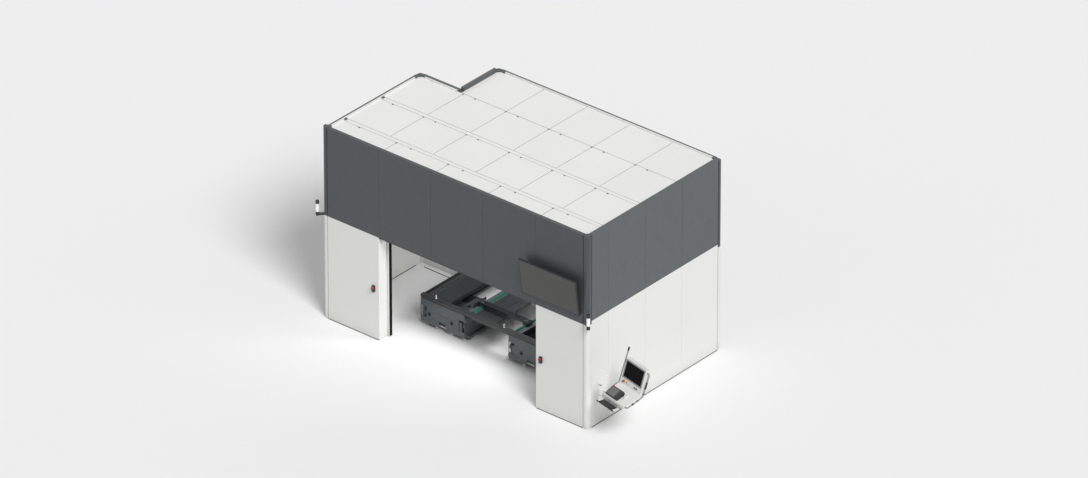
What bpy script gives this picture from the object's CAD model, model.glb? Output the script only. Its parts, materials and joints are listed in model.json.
"""Finish of the fiber laser cutting machine: enamel, steel and plastic surfaces, fixings and studio stage."""

import json
import math

import bmesh
import bpy
from mathutils import Matrix, Vector


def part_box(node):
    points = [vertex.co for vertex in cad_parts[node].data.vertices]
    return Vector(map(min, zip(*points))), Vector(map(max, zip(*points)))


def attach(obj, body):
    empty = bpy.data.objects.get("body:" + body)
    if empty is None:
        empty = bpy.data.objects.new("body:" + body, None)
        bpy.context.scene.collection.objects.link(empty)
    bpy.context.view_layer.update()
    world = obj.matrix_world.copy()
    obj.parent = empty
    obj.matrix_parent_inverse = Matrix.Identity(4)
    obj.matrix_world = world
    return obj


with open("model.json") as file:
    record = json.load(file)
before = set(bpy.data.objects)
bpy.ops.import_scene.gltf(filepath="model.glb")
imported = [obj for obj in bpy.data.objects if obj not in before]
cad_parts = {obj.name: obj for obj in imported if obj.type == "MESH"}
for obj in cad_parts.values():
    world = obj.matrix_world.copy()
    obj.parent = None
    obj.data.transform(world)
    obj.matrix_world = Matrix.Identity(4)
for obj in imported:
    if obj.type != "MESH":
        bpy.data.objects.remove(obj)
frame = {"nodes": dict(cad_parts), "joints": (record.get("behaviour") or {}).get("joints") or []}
NODES = frame["nodes"]
JOINTS = {joint["name"]: joint for joint in frame["joints"]}
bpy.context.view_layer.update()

bl_info = {
    "name": "Laser Cutting Machine Finish",
    "version": (1, 0, 0),
    "blender": (4, 5, 0),
    "location": "View3D > Sidebar > Laser Machine",
    "description": "Surface finishes, fixings and stage for an enclosed laser cutting machine",
    "category": "Object",
}

UP = Vector((0, 0, 1))
RIGHT = Vector((1, 0, 0))
BACK = Vector((0, 1, 0))
WHITE = (1.0, 1.0, 1.0, 1.0)
SHARP_ANGLE = math.radians(32)
JOINT_GAP = (0.002, 0.0045)  # least and greatest width of an open joint between panels
MERGE_DISTANCE = 1e-6


def colour_property(name, description, default):
    """Give a colour setting with a plain default."""
    return bpy.props.FloatVectorProperty(
        name=name, description=description, subtype="COLOR", size=3, min=0.0, max=1.0, default=default
    )


def length_property(name, description, default):
    """Give a length setting in metres."""
    return bpy.props.FloatProperty(
        name=name, description=description, unit="LENGTH", min=0.0, default=default
    )


def strength_property(name, description, default):
    """Give the strength of a light."""
    return bpy.props.FloatProperty(name=name, description=description, min=0.0, default=default)


def angle_property(name, description, degrees):
    """Give an angle setting, written in degrees."""
    return bpy.props.FloatProperty(
        name=name, description=description, subtype="ANGLE", min=0.0, max=math.pi, default=math.radians(degrees)
    )


def count_property(name, description, least, most, default):
    """Give a whole number of like pieces."""
    return bpy.props.IntProperty(
        name=name, description=description, min=least, max=most, default=default
    )


class LaserCabinLook(bpy.types.PropertyGroup):
    """Colours and fixing sizes of the cabin."""

    white_enamel: colour_property("White enamel", "Lower walls and front panels", (0.715, 0.715, 0.705))
    roof_enamel: colour_property("Roof enamel", "Roof panels and cover strips", (0.80, 0.80, 0.79))
    fascia_enamel: colour_property("Fascia enamel", "Dark band over the doorway", (0.056, 0.061, 0.066))
    band_enamel: colour_property("Band enamel", "Dark band on the side and rear walls", (0.083, 0.091, 0.096))
    black_enamel: colour_property("Black enamel", "Door guides, lamp bodies and trim", (0.016, 0.016, 0.018))
    sealant: colour_property("Sealant", "Beads along the roof joints", (0.30, 0.30, 0.29))
    bead_width: length_property("Bead width", "Width of a roof sealing bead", 0.009)
    screw_radius: length_property("Screw radius", "Radius of a roof screw's head", 0.013)
    clip_length: length_property("Clip length", "Length of a rim clip", 0.06)
    gasket_width: length_property("Gasket width", "Width of the strip in a wall joint", 0.0026)


class LaserBedLook(bpy.types.PropertyGroup):
    """Colours and bolt sizes of the bed and the moving axes."""

    bed_enamel: colour_property("Bed enamel", "Bed frames, drawers and plates", (0.086, 0.095, 0.102))
    deck_enamel: colour_property("Deck enamel", "Chutes and deck plates", (0.030, 0.033, 0.036))
    beam_enamel: colour_property("Beam enamel", "Front tube of the bed", (0.036, 0.036, 0.037))
    green_enamel: colour_property("Green enamel", "Fixture rails", (0.008, 0.13, 0.066))
    ground_steel: colour_property("Ground steel", "Rails and ram", (0.50, 0.50, 0.49))
    bare_steel: colour_property("Bare steel", "Feet, head and fixture beam", (0.36, 0.36, 0.35))
    copper: colour_property("Copper", "Cutting nozzle", (0.66, 0.34, 0.19))
    bolt_radius: length_property("Bolt radius", "Across a frame bolt's corners, halved", 0.012)
    rail_bolt_pitch: length_property("Rail bolt pitch", "Distance between the rail's bolts", 0.12)
    chain_pitch: length_property("Chain pitch", "Length of one link of the energy chain", 0.05)


class LaserConsoleLook(bpy.types.PropertyGroup):
    """Colours and sizes of the controls."""

    tube_enamel: colour_property("Tube enamel", "Bent handle tubes", (0.27, 0.27, 0.27))
    black_plastic: colour_property("Black plastic", "Keyboard, tablet and boxes", (0.018, 0.018, 0.019))
    stop_red: colour_property("Stop red", "Stop buttons", (0.55, 0.012, 0.016))
    collar_yellow: colour_property("Collar yellow", "Ring round the stop button", (0.85, 0.56, 0.02))
    button_blue: colour_property("Button blue", "Reset button", (0.02, 0.36, 0.72))
    display_face: colour_property("Display face", "Dark coated front of the display", (0.044, 0.044, 0.042))
    tablet_face: colour_property("Tablet face", "Grey front of the hand-held tablet", (0.13, 0.13, 0.13))
    key_columns: count_property("Key columns", "Keys in one row of the keyboard", 4, 24, 14)
    key_rows: count_property("Key rows", "Rows of keys", 3, 8, 5)


class LaserStageLook(bpy.types.PropertyGroup):
    """Light, floor and camera of the studio."""

    floor_colour: colour_property("Floor", "Pale studio floor", (0.86, 0.86, 0.86))
    backdrop: colour_property("Backdrop", "What the camera sees behind the floor", (0.90, 0.90, 0.90))
    sky_strength: strength_property("Sky strength", "Even light from all round", 0.46)
    sun_strength: strength_property("Sun strength", "Soft key light from the right", 2.32)
    work_light: strength_property("Work light", "Power of the lamp under the cabin roof", 74.0)
    sun_angle: angle_property("Sun angle", "Apparent size of the key light", 22)
    camera_turn: angle_property("Camera turn", "Camera direction round the machine", 40)
    camera_rise: angle_property("Camera rise", "Camera height above the horizon", 30)
    camera_distance: length_property("Camera distance", "Distance from the aim point", 219.0)


# Finishes


def socket_group(name, inputs, outputs):
    """Start a shader node group with value inputs and named outputs."""
    tree = bpy.data.node_groups.new(name, "ShaderNodeTree")
    tree.interface.new_socket("Vector", in_out="INPUT", socket_type="NodeSocketVector")
    for label, default in inputs:
        tree.interface.new_socket(label, in_out="INPUT", socket_type="NodeSocketFloat").default_value = default
    for label in outputs:
        tree.interface.new_socket(label, in_out="OUTPUT", socket_type="NodeSocketFloat")
    start = tree.nodes.new("NodeGroupInput")
    end = tree.nodes.new("NodeGroupOutput")
    return tree, start, end


def noise_node(tree, vector, scale, detail=3.0, rough=0.5):
    """Add a noise texture read at a vector socket, and give its socket. Scale is a number or a socket."""
    noise = tree.nodes.new("ShaderNodeTexNoise")
    noise.inputs["Detail"].default_value = detail
    noise.inputs["Roughness"].default_value = rough
    tree.links.new(vector, noise.inputs["Vector"])
    if isinstance(scale, (int, float)):
        noise.inputs["Scale"].default_value = scale
    else:
        tree.links.new(scale, noise.inputs["Scale"])
    return noise.outputs["Fac"]


def ramp_node(tree, value, low, high, to_low=0.0, to_high=1.0):
    """Map one value range to another, clamped, and give the result's socket."""
    ramp = tree.nodes.new("ShaderNodeMapRange")
    ramp.inputs["From Min"].default_value = low
    ramp.inputs["From Max"].default_value = high
    ramp.inputs["To Min"].default_value = to_low
    ramp.inputs["To Max"].default_value = to_high
    tree.links.new(value, ramp.inputs["Value"])
    return ramp.outputs["Result"]


def math_node(tree, operation, first, second):
    """Join two values by one operation and give the result's socket."""
    node = tree.nodes.new("ShaderNodeMath")
    node.operation = operation
    tree.links.new(first, node.inputs[0])
    tree.links.new(second, node.inputs[1])
    return node.outputs["Value"]


def link_outputs(tree, end, **sockets):
    """Lead sockets to the outputs of a group, by name."""
    for label, socket in sockets.items():
        tree.links.new(socket, end.inputs[label.title()])


def make_coat_grain():
    """Group for sprayed enamel: broad tone drift, fine orange peel and uneven gloss."""
    tree, start, end = socket_group(
        "coat_grain", [("Scale", 90.0), ("Drift", 0.5)], ["Tone", "Gloss", "Height"]
    )
    place = start.outputs["Vector"]
    drift = noise_node(tree, place, start.outputs["Drift"], 2.0)
    peel = noise_node(tree, place, start.outputs["Scale"], 2.0, 0.4)
    smear = noise_node(tree, place, 7.0, 4.0, 0.6)
    tone = ramp_node(tree, drift, 0.3, 0.7)
    gloss = ramp_node(tree, smear, 0.35, 0.65)
    link_outputs(tree, end, tone=tone, gloss=gloss, height=peel)
    return tree


def make_floor_dust():
    """Group for dust that settles near the floor, fading upwards in an uneven edge."""
    tree, start, end = socket_group("floor_dust", [("Reach", 0.25)], ["Mask"])
    place = start.outputs["Vector"]
    split = tree.nodes.new("ShaderNodeSeparateXYZ")
    tree.links.new(place, split.inputs["Vector"])
    share = math_node(tree, "DIVIDE", split.outputs["Z"], start.outputs["Reach"])
    fade = ramp_node(tree, share, 0.0, 1.0, 1.0, 0.0)
    soft = ramp_node(tree, noise_node(tree, place, 9.0, 4.0, 0.6), 0.3, 0.75, 0.3, 1.0)
    link_outputs(tree, end, mask=math_node(tree, "MULTIPLY", fade, soft))
    return tree


def make_brush_lines():
    """Group for ground or brushed metal: long fine lines across one direction."""
    tree, start, end = socket_group("brush_lines", [("Scale", 60.0)], ["Lines", "Gloss", "Height"])
    place = start.outputs["Vector"]
    height = noise_node(tree, place, start.outputs["Scale"], 4.0, 0.65)
    patch = noise_node(tree, place, 3.0, 3.0)
    gloss = ramp_node(tree, height, 0.3, 0.7)
    link_outputs(tree, end, lines=math_node(tree, "MULTIPLY", gloss, patch), gloss=gloss, height=height)
    return tree


def make_scuffs():
    """Group for handling marks: sparse streaks and specks on worked surfaces."""
    tree, start, end = socket_group("scuffs", [("Scale", 14.0), ("Amount", 0.35)], ["Mask"])
    stretch = tree.nodes.new("ShaderNodeVectorMath")
    stretch.operation = "MULTIPLY"
    stretch.inputs[1].default_value = (1.0, 0.35, 1.6)
    tree.links.new(start.outputs["Vector"], stretch.inputs[0])
    marks = noise_node(tree, stretch.outputs["Vector"], start.outputs["Scale"], 6.0, 0.7)
    edge = ramp_node(tree, marks, 0.56, 0.72)
    link_outputs(tree, end, mask=math_node(tree, "MULTIPLY", edge, start.outputs["Amount"]))
    return tree


GROUP_MAKERS = {
    "coat_grain": make_coat_grain,
    "floor_dust": make_floor_dust,
    "brush_lines": make_brush_lines,
    "scuffs": make_scuffs,
}


def place_group(tree, name, vector, **values):
    """Put a shared effect into a material with its own values."""
    group = tree.nodes.new("ShaderNodeGroup")
    group.node_tree = bpy.data.node_groups.get(name) or GROUP_MAKERS[name]()
    tree.links.new(vector, group.inputs["Vector"])
    for label, value in values.items():
        group.inputs[label.title()].default_value = value
    return group


def start_material(name):
    """Start a material and give its tree, Principled shader and object coordinates."""
    material = bpy.data.materials.new(name)
    material.use_nodes = True
    tree = material.node_tree
    shader = tree.nodes["Principled BSDF"]
    place = tree.nodes.new("ShaderNodeTexCoord")
    return material, tree, shader, place.outputs["Object"]


def mix_colours(tree, mask, first, second):
    """Mix two colours by a mask. Each colour is a tuple or a socket."""
    mix = tree.nodes.new("ShaderNodeMix")
    mix.data_type = "RGBA"
    tree.links.new(mask, mix.inputs["Factor"])
    for socket, colour in ((mix.inputs["A"], first), (mix.inputs["B"], second)):
        if isinstance(colour, bpy.types.NodeSocket):
            tree.links.new(colour, socket)
        else:
            socket.default_value = (*colour[:3], 1.0)
    return mix.outputs["Result"]


def dress(tree, shader, base, effect, gloss, bump, depth):
    """Give a shader its colour, and its gloss and bump from a shared effect."""
    tree.links.new(base, shader.inputs["Base Color"])
    rough = ramp_node(tree, effect.outputs["Gloss"], 0.0, 1.0, *gloss)
    tree.links.new(rough, shader.inputs["Roughness"])
    relief = tree.nodes.new("ShaderNodeBump")
    relief.inputs["Strength"].default_value = bump
    relief.inputs["Distance"].default_value = depth
    tree.links.new(effect.outputs["Height"], relief.inputs["Height"])
    tree.links.new(relief.outputs["Normal"], shader.inputs["Normal"])


def tinted(colour, factor):
    """Give a colour made lighter or darker by a factor."""
    return tuple(min(1.0, channel * factor) for channel in colour)


def coat_colour(tree, mask, colour, contrast):
    """Let a colour drift to both sides by a mask."""
    return mix_colours(tree, mask, tinted(colour, 1 - contrast), tinted(colour, 1 + contrast))


def enamel(name, colour, gloss=(0.34, 0.46), drift=0.5, contrast=0.06, dust=0.0, scuff=0.0, grain=90.0):
    """Sprayed enamel on sheet or section steel."""
    material, tree, shader, place = start_material(name)
    skin = place_group(tree, "coat_grain", place, scale=grain, drift=drift)
    base = coat_colour(tree, skin.outputs["Tone"], colour, contrast)
    if scuff:
        marks = place_group(tree, "scuffs", place, amount=scuff)
        base = mix_colours(tree, marks.outputs["Mask"], base, tinted(colour, 2.2))
    if dust:
        low = place_group(tree, "floor_dust", place, reach=dust)
        base = mix_colours(tree, low.outputs["Mask"], base, tuple(c * 0.7 + 0.1 for c in colour))
    dress(tree, shader, base, skin, gloss, 0.12, 0.0006)
    return material


def metal(name, colour, gloss=(0.26, 0.44), direction=(1.0, 0.03, 1.0), scale=80.0):
    """Ground, turned or brushed metal with fine lines across one direction."""
    material, tree, shader, place = start_material(name)
    turn = tree.nodes.new("ShaderNodeMapping")
    turn.inputs["Scale"].default_value = direction
    tree.links.new(place, turn.inputs["Vector"])
    lines = place_group(tree, "brush_lines", turn.outputs["Vector"], scale=scale)
    base = mix_colours(tree, lines.outputs["Lines"], tinted(colour, 0.8), tinted(colour, 1.25))
    shader.inputs["Metallic"].default_value = 0.9
    dress(tree, shader, base, lines, gloss, 0.1, 0.0003)
    return material


def plastic(name, colour, gloss=(0.38, 0.52), grain=420.0, bump=0.18, contrast=0.08, shine=0.5):
    """Moulded plastic with a fine grain."""
    material, tree, shader, place = start_material(name)
    skin = place_group(tree, "coat_grain", place, scale=grain, drift=3.0)
    base = coat_colour(tree, skin.outputs["Tone"], colour, contrast)
    shader.inputs["Specular IOR Level"].default_value = shine
    dress(tree, shader, base, skin, gloss, bump, 0.0003)
    return material


def finish(name):
    """Give a finish by name, made on first use from the scene's settings."""
    label = f"laser_{name}"
    made = bpy.data.materials.get(label)
    if made:
        return made
    cabin = bpy.context.scene.laser_cabin
    bed = bpy.context.scene.laser_bed
    desk = bpy.context.scene.laser_console
    recipes = {
        "white_enamel": lambda n: enamel(n, cabin.white_enamel, contrast=0.012, dust=0.22),
        "frame_enamel": lambda n: enamel(n, cabin.white_enamel, contrast=0.02),
        "roof_enamel": lambda n: enamel(n, cabin.roof_enamel, contrast=0.015, drift=0.8),
        "fascia_enamel": lambda n: enamel(n, cabin.fascia_enamel, gloss=(0.4, 0.5), contrast=0.04, drift=0.3),
        "band_enamel": lambda n: enamel(n, cabin.band_enamel, gloss=(0.4, 0.5), contrast=0.04, drift=0.3),
        "black_enamel": lambda n: enamel(n, cabin.black_enamel, gloss=(0.3, 0.45), contrast=0.1),
        "sealant": lambda n: plastic(n, cabin.sealant, gloss=(0.6, 0.75), grain=200.0),
        "bed_enamel": lambda n: enamel(n, bed.bed_enamel, contrast=0.08, drift=2.0, scuff=0.25, dust=0.14),
        "deck_enamel": lambda n: enamel(n, bed.deck_enamel, contrast=0.1, drift=2.0, scuff=0.2),
        "beam_enamel": lambda n: enamel(n, bed.beam_enamel, contrast=0.12, drift=3.0, scuff=0.3),
        "green_enamel": lambda n: enamel(n, bed.green_enamel, contrast=0.08, drift=3.0),
        "ground_steel": lambda n: metal(n, bed.ground_steel, direction=(1.0, 0.02, 1.0)),
        "rail_steel": lambda n: metal(n, tinted(bed.ground_steel, 0.3), direction=(1.0, 0.02, 1.0)),
        "ram_steel": lambda n: metal(n, bed.ground_steel, direction=(1.0, 1.0, 0.02)),
        "bare_steel": lambda n: metal(n, bed.bare_steel, gloss=(0.32, 0.5), direction=(0.05, 1.0, 1.0)),
        "bolt_steel": lambda n: metal(n, tinted(bed.bare_steel, 0.7), gloss=(0.3, 0.5), direction=(1, 1, 1)),
        "latch_steel": lambda n: metal(n, tinted(bed.bare_steel, 0.4), gloss=(0.3, 0.45), direction=(1, 1, 1)),
        "copper": lambda n: metal(n, bed.copper, gloss=(0.2, 0.34), direction=(1.0, 1.0, 0.05), scale=300.0),
        "tube_enamel": lambda n: enamel(n, desk.tube_enamel, gloss=(0.28, 0.4), contrast=0.05, drift=4.0),
        "black_plastic": lambda n: plastic(n, desk.black_plastic),
        "key_plastic": lambda n: plastic(n, tinted(desk.black_plastic, 2.4), gloss=(0.45, 0.6)),
        "white_plastic": lambda n: plastic(n, cabin.white_enamel, contrast=0.02, bump=0.08),
        "grey_plastic": lambda n: plastic(n, tinted(desk.tube_enamel, 0.85)),
        "stop_red": lambda n: plastic(n, desk.stop_red, gloss=(0.2, 0.3), bump=0.05),
        "collar_yellow": lambda n: plastic(n, desk.collar_yellow, gloss=(0.25, 0.35), bump=0.05),
        "button_blue": lambda n: plastic(n, desk.button_blue, gloss=(0.2, 0.3), bump=0.05),
        "lamp_opal": lambda n: plastic(n, (0.86, 0.86, 0.84), gloss=(0.15, 0.25), bump=0.03, contrast=0.02),
        "display_frame": lambda n: plastic(n, tinted(desk.black_plastic, 1.6)),
        "display_face": lambda n: plastic(n, desk.display_face, gloss=(0.3, 0.34), bump=0.01, contrast=0.02),
        "screen_glass": lambda n: plastic(n, (0.002, 0.002, 0.002), gloss=(0.2, 0.26), bump=0.01, shine=0.06),
        "tablet_face": lambda n: plastic(n, desk.tablet_face, gloss=(0.14, 0.22), grain=300.0, bump=0.01),
        "rubber": lambda n: plastic(n, (0.014, 0.014, 0.014), gloss=(0.6, 0.8), grain=250.0),
        "wheel_nylon": lambda n: plastic(n, (0.74, 0.74, 0.72), contrast=0.05),
    }
    return recipes[name](label)


def coat(finish_name, *nodes):
    """Give CAD nodes a finish."""
    for node in nodes:
        NODES[node].data.materials.clear()
        NODES[node].data.materials.append(finish(finish_name))


# Shapes


def points(node):
    """Give the places of a node's vertices."""
    return [vertex.co for vertex in NODES[node].data.vertices]


def span(node, direction):
    """Give the least and greatest reach of a node along a direction."""
    reaches = [point.dot(direction) for point in points(node)]
    return min(reaches), max(reaches)


def largest_face(node, towards):
    """Give the centre and normal of a node's largest flat face that looks one way."""
    areas = {}
    for face in NODES[node].data.polygons:
        if face.normal.dot(towards) > 0.4:
            key = tuple(round(part, 2) for part in face.normal)
            total, centre, normal = areas.get(key, (0.0, Vector(), face.normal.copy()))
            areas[key] = (total + face.area, centre + face.center * face.area, normal)
    if not areas:
        raise RuntimeError(f"{node} has no face towards {tuple(towards)}")
    total, centre, normal = max(areas.values(), key=lambda found: found[0])
    return centre / total, normal


def axes_matrix(origin, x_axis, y_axis, z_axis):
    """Give the matrix of a frame from its origin and three axes."""
    turned = Matrix((x_axis, y_axis, z_axis)).transposed().to_4x4()
    return Matrix.Translation(origin) @ turned


def facing(origin, normal, along=None):
    """Give a frame whose Z axis is a normal."""
    z_axis = Vector(normal).normalized()
    hint = Vector(along) if along is not None else (RIGHT if abs(z_axis.x) < 0.9 else BACK)
    y_axis = z_axis.cross(hint).normalized()
    return axes_matrix(origin, y_axis.cross(z_axis), y_axis, z_axis)


def raised(place, height):
    """Give a frame moved along its own Z axis."""
    return place @ Matrix.Translation((0, 0, height))


def edges_of(made):
    """Give the edges of a shape that an operator made."""
    return {edge for vertex in made["verts"] for edge in vertex.link_edges}


def bevel(bm, edges, offset, segments):
    """Round or break some edges."""
    bmesh.ops.bevel(
        bm, geom=list(edges), offset=offset, affect="EDGES", segments=segments, profile=0.5, material=-1
    )


def add_block(bm, place, size, round_by=0.0, segments=2):
    """Add a block with rounded edges, centred in x and y and standing on the frame's z plane."""
    matrix = raised(place, size[2] / 2) @ Matrix.Diagonal((*size, 1.0))
    made = bmesh.ops.create_cube(bm, size=1.0, matrix=matrix)
    if round_by:
        bevel(bm, edges_of(made), round_by, segments)


def add_span(bm, low, high, round_by=0.0):
    """Add a block between two corners."""
    low, high = Vector(low), Vector(high)
    middle = (low + high) / 2
    add_block(bm, Matrix.Translation((middle.x, middle.y, low.z)), high - low, round_by)


def add_run(bm, run, inner, outer, z_from, z_to, round_by=0.0):
    """Add a strip along a straight run on plan, given by its two ends and the way out of its line."""
    reach = [
        sorted((a - inner * way, a + outer * way, b - inner * way, b + outer * way)) for a, b, way in zip(*run)
    ]
    low, high = [edge[0] for edge in reach], [edge[-1] for edge in reach]
    add_span(bm, (*low, z_from), (*high, z_to), round_by)


def add_disc(bm, place, radius, height, sides=24, chamfer=0.0):
    """Add a round or many-sided boss standing on the frame's z plane."""
    made = bmesh.ops.create_cone(
        bm, cap_ends=True, segments=sides, radius1=radius, radius2=radius, depth=height,
        matrix=raised(place, height / 2),
    )
    if chamfer:
        top = place @ Vector((0, 0, height))
        normal = (place.to_3x3() @ UP).normalized()
        rim = [
            edge for edge in edges_of(made)
            if all(abs((vertex.co - top).dot(normal)) < height * 0.01 for vertex in edge.verts)
        ]
        bevel(bm, rim, chamfer, 1)


def add_turned(bm, place, profile, steps=28):
    """Turn a closed outline of radius and height points about the frame's z axis."""
    corners = [bm.verts.new((radius, 0.0, height)) for radius, height in profile]
    edges = [bm.edges.new(pair) for pair in zip(corners, corners[1:] + corners[:1])]
    before = set(bm.verts) - set(corners)
    bmesh.ops.spin(
        bm, geom=[*corners, *edges], cent=(0, 0, 0), axis=UP, angle=math.tau, steps=steps, use_merge=True
    )
    made = [vertex for vertex in bm.verts if vertex not in before]
    bmesh.ops.transform(bm, matrix=place, verts=made)
    bmesh.ops.remove_doubles(bm, verts=made, dist=MERGE_DISTANCE)


def ring(outer, inner, height, lip=0.0006):
    """Give the outline of a flat ring with broken edges, standing on the z plane."""
    return [
        (inner, 0.0), (outer, 0.0), (outer, height - lip), (outer - lip, height),
        (inner + lip, height), (inner, height - lip),
    ]


def add_bolt(bm, place, radius):
    """Add a hexagon head on a washer."""
    washer = radius * 0.18
    add_disc(bm, place, radius * 1.35, washer, sides=16)
    add_disc(bm, raised(place, washer), radius, radius * 0.7, sides=6, chamfer=radius * 0.12)


def add_socket_screw(bm, place, radius):
    """Add a cylinder head with a hexagon recess."""
    height = radius * 0.7
    add_disc(bm, place, radius, height, sides=16, chamfer=radius * 0.1)
    top = place @ Vector((0, 0, height))
    normal = (place.to_3x3() @ UP).normalized()
    crown = [
        face for face in bm.faces
        if face.normal.dot(normal) > 0.99 and (face.calc_center_median() - top).length < radius * 0.2
    ]
    bmesh.ops.inset_region(bm, faces=crown, thickness=radius * 0.45, depth=0.0)
    bmesh.ops.translate(
        bm, verts=list({vertex for face in crown for vertex in face.verts}), vec=-normal * height * 0.5
    )


def make_piece(name, bm, finish_name, body):
    """Turn a bmesh into a finished piece that rides on a body."""
    bmesh.ops.delete(bm, geom=[edge for edge in bm.edges if not edge.link_faces], context="EDGES")
    bmesh.ops.recalc_face_normals(bm, faces=bm.faces)
    mesh = bpy.data.meshes.new(name)
    bm.to_mesh(mesh)
    bm.free()
    mesh.shade_smooth()
    mesh.set_sharp_from_angle(angle=SHARP_ANGLE)
    mesh.materials.append(finish(finish_name))
    piece = bpy.data.objects.new(name, mesh)
    bpy.context.scene.collection.objects.link(piece)
    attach(piece, body)
    return piece


# Cabin values read from the frame

ROOF_LOW, ROOF_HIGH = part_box("roof_panels")
FASCIA_LOW, FASCIA_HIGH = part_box("fascia_panels")
WALL_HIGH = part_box("upper_wall_panels")[1]
NOTCH_X = min(point.x for point in points("roof_panels") if point.y > ROOF_HIGH.y - 0.01)
NOTCH_Y = max(point.y for point in points("roof_panels") if point.x < ROOF_LOW.x + 0.01)


def open_joints(places):
    """Give the middles of the narrow gaps between the places where panels end."""
    places = sorted({round(place, 4) for place in places})
    return [(a + b) / 2 for a, b in zip(places, places[1:]) if JOINT_GAP[0] < b - a < JOINT_GAP[1]]


def row_gaps(node, along, low_corner, high_corner):
    """Find the joints along one axis of a row of panels inside a box."""
    slack = 0.001
    return open_joints(
        point[along] for point in points(node)
        if all(low - slack <= c <= high + slack for c, low, high in zip(point, low_corner, high_corner))
    )


class LASER_OT_cabin_paint(bpy.types.Operator):
    """Paint the cabin's posts, walls, fascia and roof"""

    bl_idname = "laser.cabin_paint"
    bl_label = "Cabin Paint"

    def execute(self, context):
        coat("white_enamel", "corner_posts_lower", "front_panels", "lower_wall_panels")
        coat("frame_enamel", "cabin_frame", "door_leaf_lower", "door_leaf_upper")
        coat("roof_enamel", "roof_panels", "roof_cover_strips")
        coat("fascia_enamel", "fascia_panels", "corner_posts_upper")
        coat("band_enamel", "upper_wall_panels")
        coat("black_enamel", "fascia_trim", "door_guides", "lamp_bodies")
        coat("lamp_opal", "lamp_lenses")
        coat("bare_steel", "extraction_collar")
        return {"FINISHED"}


class LASER_OT_roof_fixings(bpy.types.Operator):
    """Add the sealing beads, screws and rim clips of the roof"""

    bl_idname = "laser.roof_fixings"
    bl_label = "Roof Fixings"

    def execute(self, context):
        look = context.scene.laser_cabin
        ends = sorted({round(point.y, 3) for point in points("roof_cover_strips")})
        half = len(ends) // 2
        strips = ((ends[0], ends[half - 1]), (ends[half], ends[-1]))
        rear = self.rear_joint()
        self.add_beads(look, strips, rear)
        self.add_screws(look, [strips[0][0], strips[1][0], rear])
        self.add_clips(look, strips, rear)
        return {"FINISHED"}

    def add_beads(self, look, strips, rear):
        """Seal the joints between the roof rows, beside the cover strips and across each row."""
        top = ROOF_HIGH.z
        strip_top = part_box("roof_cover_strips")[1].z
        half = look.bead_width / 2
        rise = look.bead_width * 0.3
        bm = bmesh.new()
        for y, start in ((strips[0][0], ROOF_LOW.x), (strips[1][0], ROOF_LOW.x), (rear, NOTCH_X)):
            add_span(bm, (start, y - half, top - rise), (ROOF_HIGH.x, y + half, top + rise), rise * 0.6)
        for strip in strips:
            y = strip[1] - half
            low = (ROOF_LOW.x, y - half, strip_top - rise)
            add_span(bm, low, (ROOF_HIGH.x, y + half, strip_top + rise * 0.5), rise * 0.4)
        rows = (
            (ROOF_LOW.y, strips[0][0]), (strips[0][1], strips[1][0]), (strips[1][1], rear), (rear, ROOF_HIGH.y)
        )
        for y_from, y_to in rows:
            for x in self.joint_places((y_from + y_to) / 2):
                add_span(bm, (x - half, y_from, top - rise), (x + half, y_to, top + rise), rise * 0.6)
        make_piece("roof_sealant", bm, "sealant", "cabin")

    def add_screws(self, look, rows):
        """Screw the roof down along its rows, two screws to a panel."""
        inset = 0.05
        bm = bmesh.new()
        for y in rows:
            joints = self.joint_places(y - 0.2)
            pitch = joints[-1] - joints[-2]
            for joint in (joints[0] - pitch, *joints):
                for x in (joint, joint + 0.28 * pitch):
                    if ROOF_LOW.x + inset < x < ROOF_HIGH.x - inset:
                        spot = (x, y - look.screw_radius * 1.7, ROOF_HIGH.z)
                        add_bolt(bm, Matrix.Translation(spot), look.screw_radius)
        make_piece("roof_screws", bm, "bolt_steel", "cabin")

    def add_clips(self, look, strips, rear):
        """Hold the cover strips and the rear row at the low rim."""
        thick, strip = 0.022, 0.004
        bm = bmesh.new()
        for y, lift in ((sum(strips[0]) / 2, strip), (sum(strips[1]) / 2, strip), (rear, 0.0)):
            place = Matrix.Translation((ROOF_LOW.x + look.clip_length * 0.3, y, ROOF_HIGH.z + lift))
            add_block(bm, place, (look.clip_length * 0.6, look.clip_length, thick), 0.004)
            add_bolt(bm, raised(place, thick), look.screw_radius * 0.8)
        make_piece("rim_clips", bm, "band_enamel", "cabin")

    def rear_joint(self):
        """Give the place of the last joint between roof rows."""
        inner = (ROOF_HIGH.x - ROOF_LOW.x) / 4
        low = (ROOF_LOW.x + inner, ROOF_LOW.y, ROOF_LOW.z)
        high = (ROOF_HIGH.x - inner, ROOF_HIGH.y, ROOF_HIGH.z)
        return max(row_gaps("roof_panels", 1, low, high))

    def joint_places(self, y):
        """Give the joints of the roof row at one place."""
        mesh = NODES["roof_panels"].data
        places = []
        for face in mesh.polygons:
            corners = [mesh.vertices[index].co for index in face.vertices]
            depths = [corner.y for corner in corners]
            if face.normal.z > 0.9 and min(depths) <= y <= max(depths):
                places += [corner.x for corner in corners]
        return open_joints(places)


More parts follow.
